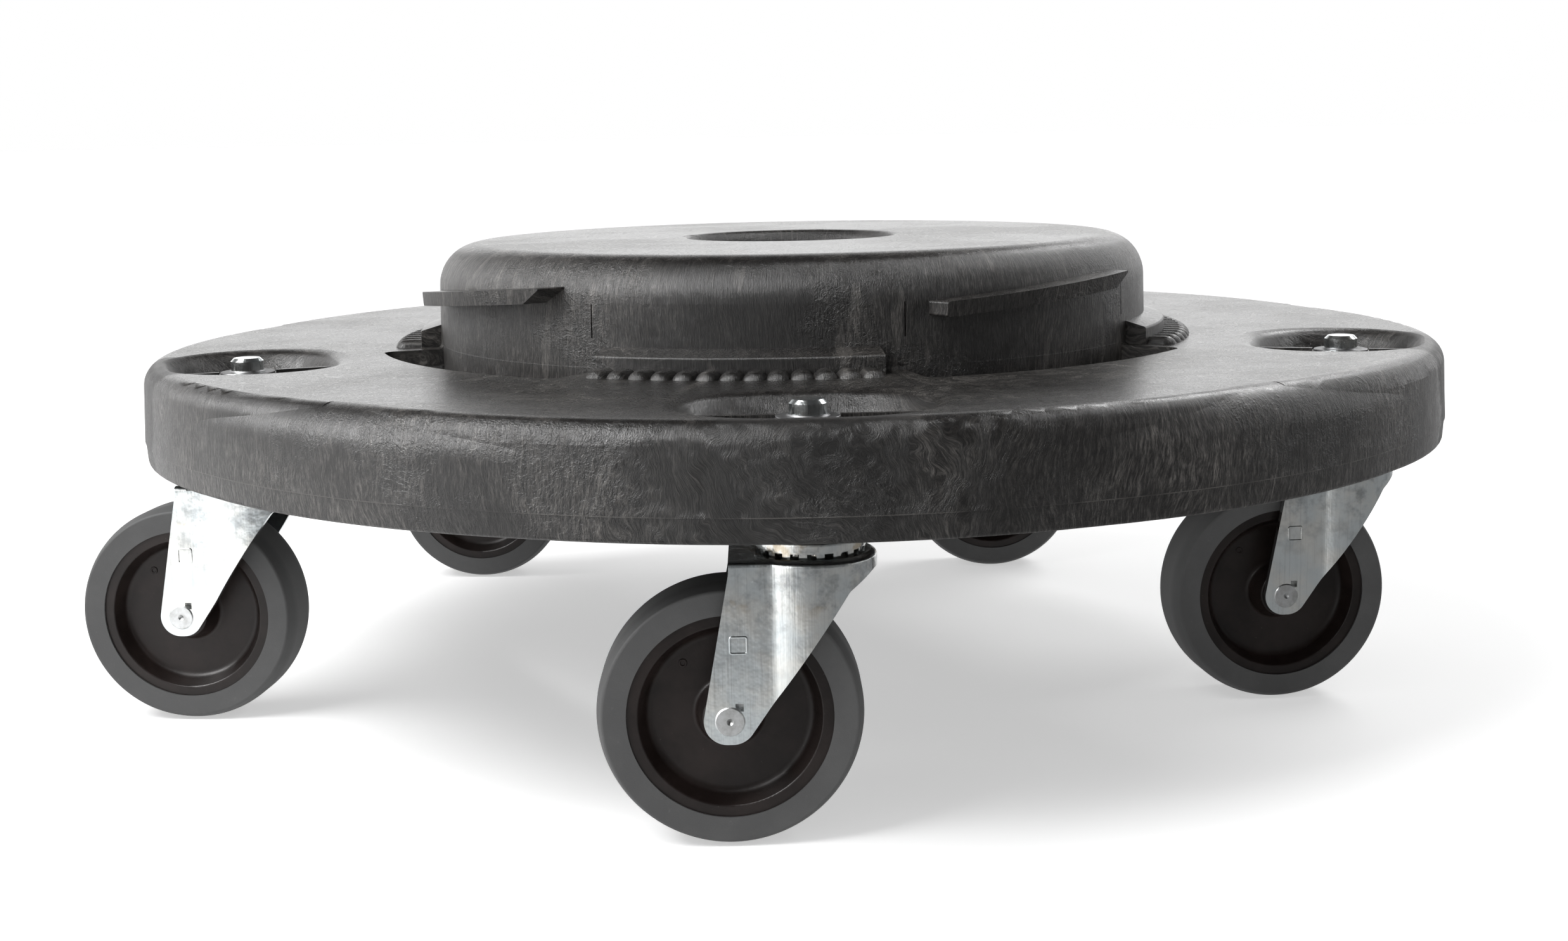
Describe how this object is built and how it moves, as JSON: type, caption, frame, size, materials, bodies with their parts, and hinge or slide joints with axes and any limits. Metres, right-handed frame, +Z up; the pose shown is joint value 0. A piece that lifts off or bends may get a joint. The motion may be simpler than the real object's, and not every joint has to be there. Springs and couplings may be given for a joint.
{
  "type": "furniture dolly",
  "caption": "Round moulded-plastic dolly with a raised twist-lock hub, carried on swivel casters with rubber-tyred wheels, for rolling a round container or other load about.",
  "frame": {"origin": "on the floor under the deck's axis", "axes": "+Z up along the deck's axis, -Y towards the front caster, +X to the right; the wheels trail towards -X at rest"},
  "size_m": [0.4862, 0.4691, 0.162],
  "materials": {
    "deck_plastic": "semi-gloss black structural foam with grey flow streaks",
    "zinc_steel": "bright zinc plate, drawn and lightly brushed",
    "washer_steel": "dull dark plated steel",
    "ball_steel": "polished bearing steel",
    "rivet_steel": "dull zinc plate",
    "core_plastic": "satin dark brown-black moulded plastic",
    "tyre_rubber": "smooth matt grey non-marking rubber"
  },
  "bodies": {
    "deck": {"deck_body": "deck_plastic", "stem_front": "zinc_steel", "washer_front": "washer_steel", "bearing_cap_front": "zinc_steel", "bearing_balls_front": "ball_steel", "ball_cage_front": "zinc_steel", "lower_race_front": "zinc_steel", "stem_right": "zinc_steel", "washer_right": "washer_steel", "bearing_cap_right": "zinc_steel", "bearing_balls_right": "ball_steel", "ball_cage_right": "zinc_steel", "lower_race_right": "zinc_steel", "stem_back_right": "zinc_steel", "washer_back_right": "washer_steel", "bearing_cap_back_right": "zinc_steel", "bearing_balls_back_right": "ball_steel", "ball_cage_back_right": "zinc_steel", "lower_race_back_right": "zinc_steel", "stem_back_left": "zinc_steel", "washer_back_left": "washer_steel", "bearing_cap_back_left": "zinc_steel", "bearing_balls_back_left": "ball_steel", "ball_cage_back_left": "zinc_steel", "lower_race_back_left": "zinc_steel", "stem_left": "zinc_steel", "washer_left": "washer_steel", "bearing_cap_left": "zinc_steel", "bearing_balls_left": "ball_steel", "ball_cage_left": "zinc_steel", "lower_race_left": "zinc_steel"},
    "swivel_front": {"fork_front": "zinc_steel", "axle_front": "rivet_steel", "axle_sleeve_front": "rivet_steel"},
    "wheel_front": {"wheel_core_front": "core_plastic", "tyre_front": "tyre_rubber"},
    "swivel_right": {"fork_right": "zinc_steel", "axle_right": "rivet_steel", "axle_sleeve_right": "rivet_steel"},
    "wheel_right": {"wheel_core_right": "core_plastic", "tyre_right": "tyre_rubber"},
    "swivel_back_right": {"fork_back_right": "zinc_steel", "axle_back_right": "rivet_steel", "axle_sleeve_back_right": "rivet_steel"},
    "wheel_back_right": {"wheel_core_back_right": "core_plastic", "tyre_back_right": "tyre_rubber"},
    "swivel_back_left": {"fork_back_left": "zinc_steel", "axle_back_left": "rivet_steel", "axle_sleeve_back_left": "rivet_steel"},
    "wheel_back_left": {"wheel_core_back_left": "core_plastic", "tyre_back_left": "tyre_rubber"},
    "swivel_left": {"fork_left": "zinc_steel", "axle_left": "rivet_steel", "axle_sleeve_left": "rivet_steel"},
    "wheel_left": {"wheel_core_left": "core_plastic", "tyre_left": "tyre_rubber"}
  },
  "joints": [
    {"name": "swivel_front", "type": "hinge", "parent": "deck", "child": "swivel_front", "pos_m": [0, -0.2, 0.08], "axis": [0, 0, 1], "continuous": true},
    {"name": "wheel_spin_front", "type": "hinge", "parent": "swivel_front", "child": "wheel_front", "pos_m": [-0.0236, -0.19994, 0.0381], "axis": [0.0026, 1, 0], "continuous": true},
    {"name": "swivel_right", "type": "hinge", "parent": "deck", "child": "swivel_right", "pos_m": [0.19021, -0.0618, 0.08], "axis": [0, 0, 1], "continuous": true},
    {"name": "wheel_spin_right", "type": "hinge", "parent": "swivel_right", "child": "wheel_right", "pos_m": [0.16673, -0.06415, 0.0381], "axis": [-0.0993, 0.9951, 0], "continuous": true},
    {"name": "swivel_back_right", "type": "hinge", "parent": "deck", "child": "swivel_back_right", "pos_m": [0.11756, 0.1618, 0.08], "axis": [0, 0, 1], "continuous": true},
    {"name": "wheel_spin_back_right", "type": "hinge", "parent": "swivel_back_right", "child": "wheel_back_right", "pos_m": [0.09396, 0.16205, 0.0381], "axis": [0.0105, 0.9999, 0], "continuous": true},
    {"name": "swivel_back_left", "type": "hinge", "parent": "deck", "child": "swivel_back_left", "pos_m": [-0.11756, 0.1618, 0.08], "axis": [0, 0, 1], "continuous": true},
    {"name": "wheel_spin_back_left", "type": "hinge", "parent": "swivel_back_left", "child": "wheel_back_left", "pos_m": [-0.14111, 0.16337, 0.0381], "axis": [0.0663, 0.9978, 0], "continuous": true},
    {"name": "swivel_left", "type": "hinge", "parent": "deck", "child": "swivel_left", "pos_m": [-0.19021, -0.0618, 0.08], "axis": [0, 0, 1], "continuous": true},
    {"name": "wheel_spin_left", "type": "hinge", "parent": "swivel_left", "child": "wheel_left", "pos_m": [-0.21368, -0.05936, 0.0381], "axis": [0.1037, 0.9946, 0], "continuous": true}
  ]
}
